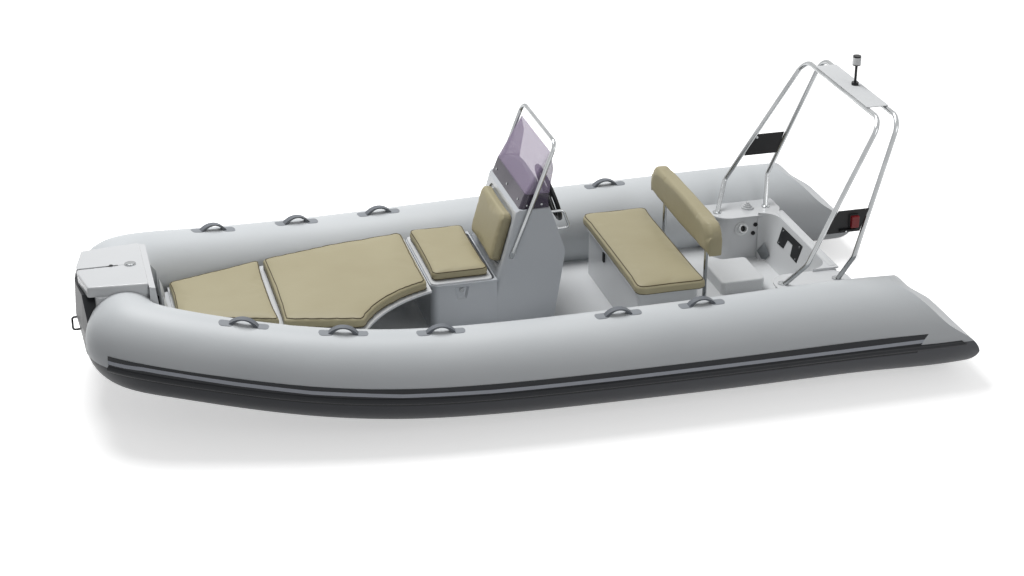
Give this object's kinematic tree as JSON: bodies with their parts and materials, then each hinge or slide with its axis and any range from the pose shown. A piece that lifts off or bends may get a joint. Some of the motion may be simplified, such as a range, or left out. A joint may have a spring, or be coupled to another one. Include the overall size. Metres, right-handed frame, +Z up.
{
  "type": "rigid inflatable boat",
  "caption": "Rigid inflatable boat with raked air tubes, V hull, offset console, padded sundeck, stern bench and a stainless light arch.",
  "frame": {"origin": "on the centreline halfway along the boat, at the level of the water that it floats in", "axes": "+X towards the bow, +Y to port, +Z up"},
  "size_m": [5.2287, 2.4664, 1.9164],
  "materials": {
    "hull": "gloss gelcoat",
    "moulding": "gloss gelcoat",
    "tube_fabric": "satin coated fabric",
    "strake": "satin rubber",
    "deck": "non-slip gelcoat",
    "upholstery": "khaki marine vinyl",
    "stainless": "polished stainless steel",
    "black_plastic": "satin black",
    "white_plastic": "white moulded",
    "tinted_screen": "purple tinted acrylic",
    "red_lens": "red lens",
    "green_lens": "green lens"
  },
  "bodies": {
    "boat": {"hull": "hull", "collar_port": "tube_fabric", "collar_starboard": "tube_fabric", "stern_caps": "tube_fabric", "rub_strakes": "strake", "tube_handles": "tube_fabric", "floor_deck": "deck", "stern_moulding": "moulding", "transom_board": "moulding", "stern_step": "moulding", "vent_stack": "white_plastic", "hose_port": "white_plastic", "bow_step": "moulding", "bow_cleat": "stainless", "bow_roller": "black_plastic", "bow_eye": "black_plastic", "bow_locker": "moulding", "sundeck_board": "moulding", "bow_cushion_front": "upholstery", "bow_cushion_large": "upholstery", "seat_base": "moulding", "seat_lock": "stainless", "console": "moulding", "console_cushion": "upholstery", "windshield": "tinted_screen", "helm_hub": "black_plastic", "console_rail": "stainless", "console_grab": "stainless", "bench_base": "moulding", "bench_latch": "black_plastic", "backrest_cushion": "upholstery", "backrest_posts": "stainless", "arch_forward": "stainless", "arch_aft": "stainless", "arch_top_plate": "moulding", "mast_light": "black_plastic", "arch_side_plates": "black_plastic", "nav_light_port": "red_lens", "nav_light_starboard": "green_lens", "transom_plates": "black_plastic"},
    "wheel": {"steering_wheel": "black_plastic"},
    "front_seat": {"seat_lid": "moulding", "seat_cushion": "upholstery"},
    "bench_seat": {"bench_lid": "moulding", "bench_cushion": "upholstery"}
  },
  "joints": [
    {"name": "steering_turn", "type": "hinge", "parent": "boat", "child": "wheel", "pos_m": [-0.25937, -0.25, 0.86433], "axis": [-0.9454, 0, 0.326], "range_deg": [-540, 540]},
    {"name": "front_seat_lid", "type": "hinge", "parent": "boat", "child": "front_seat", "pos_m": [0.3, -0.656, 0.5], "axis": [1, 0, 0], "range_deg": [0, 80]},
    {"name": "bench_seat_lid", "type": "hinge", "parent": "boat", "child": "bench_seat", "pos_m": [-0.664, 0, 0.4925], "axis": [0, 1, 0], "range_deg": [0, 85]}
  ]
}
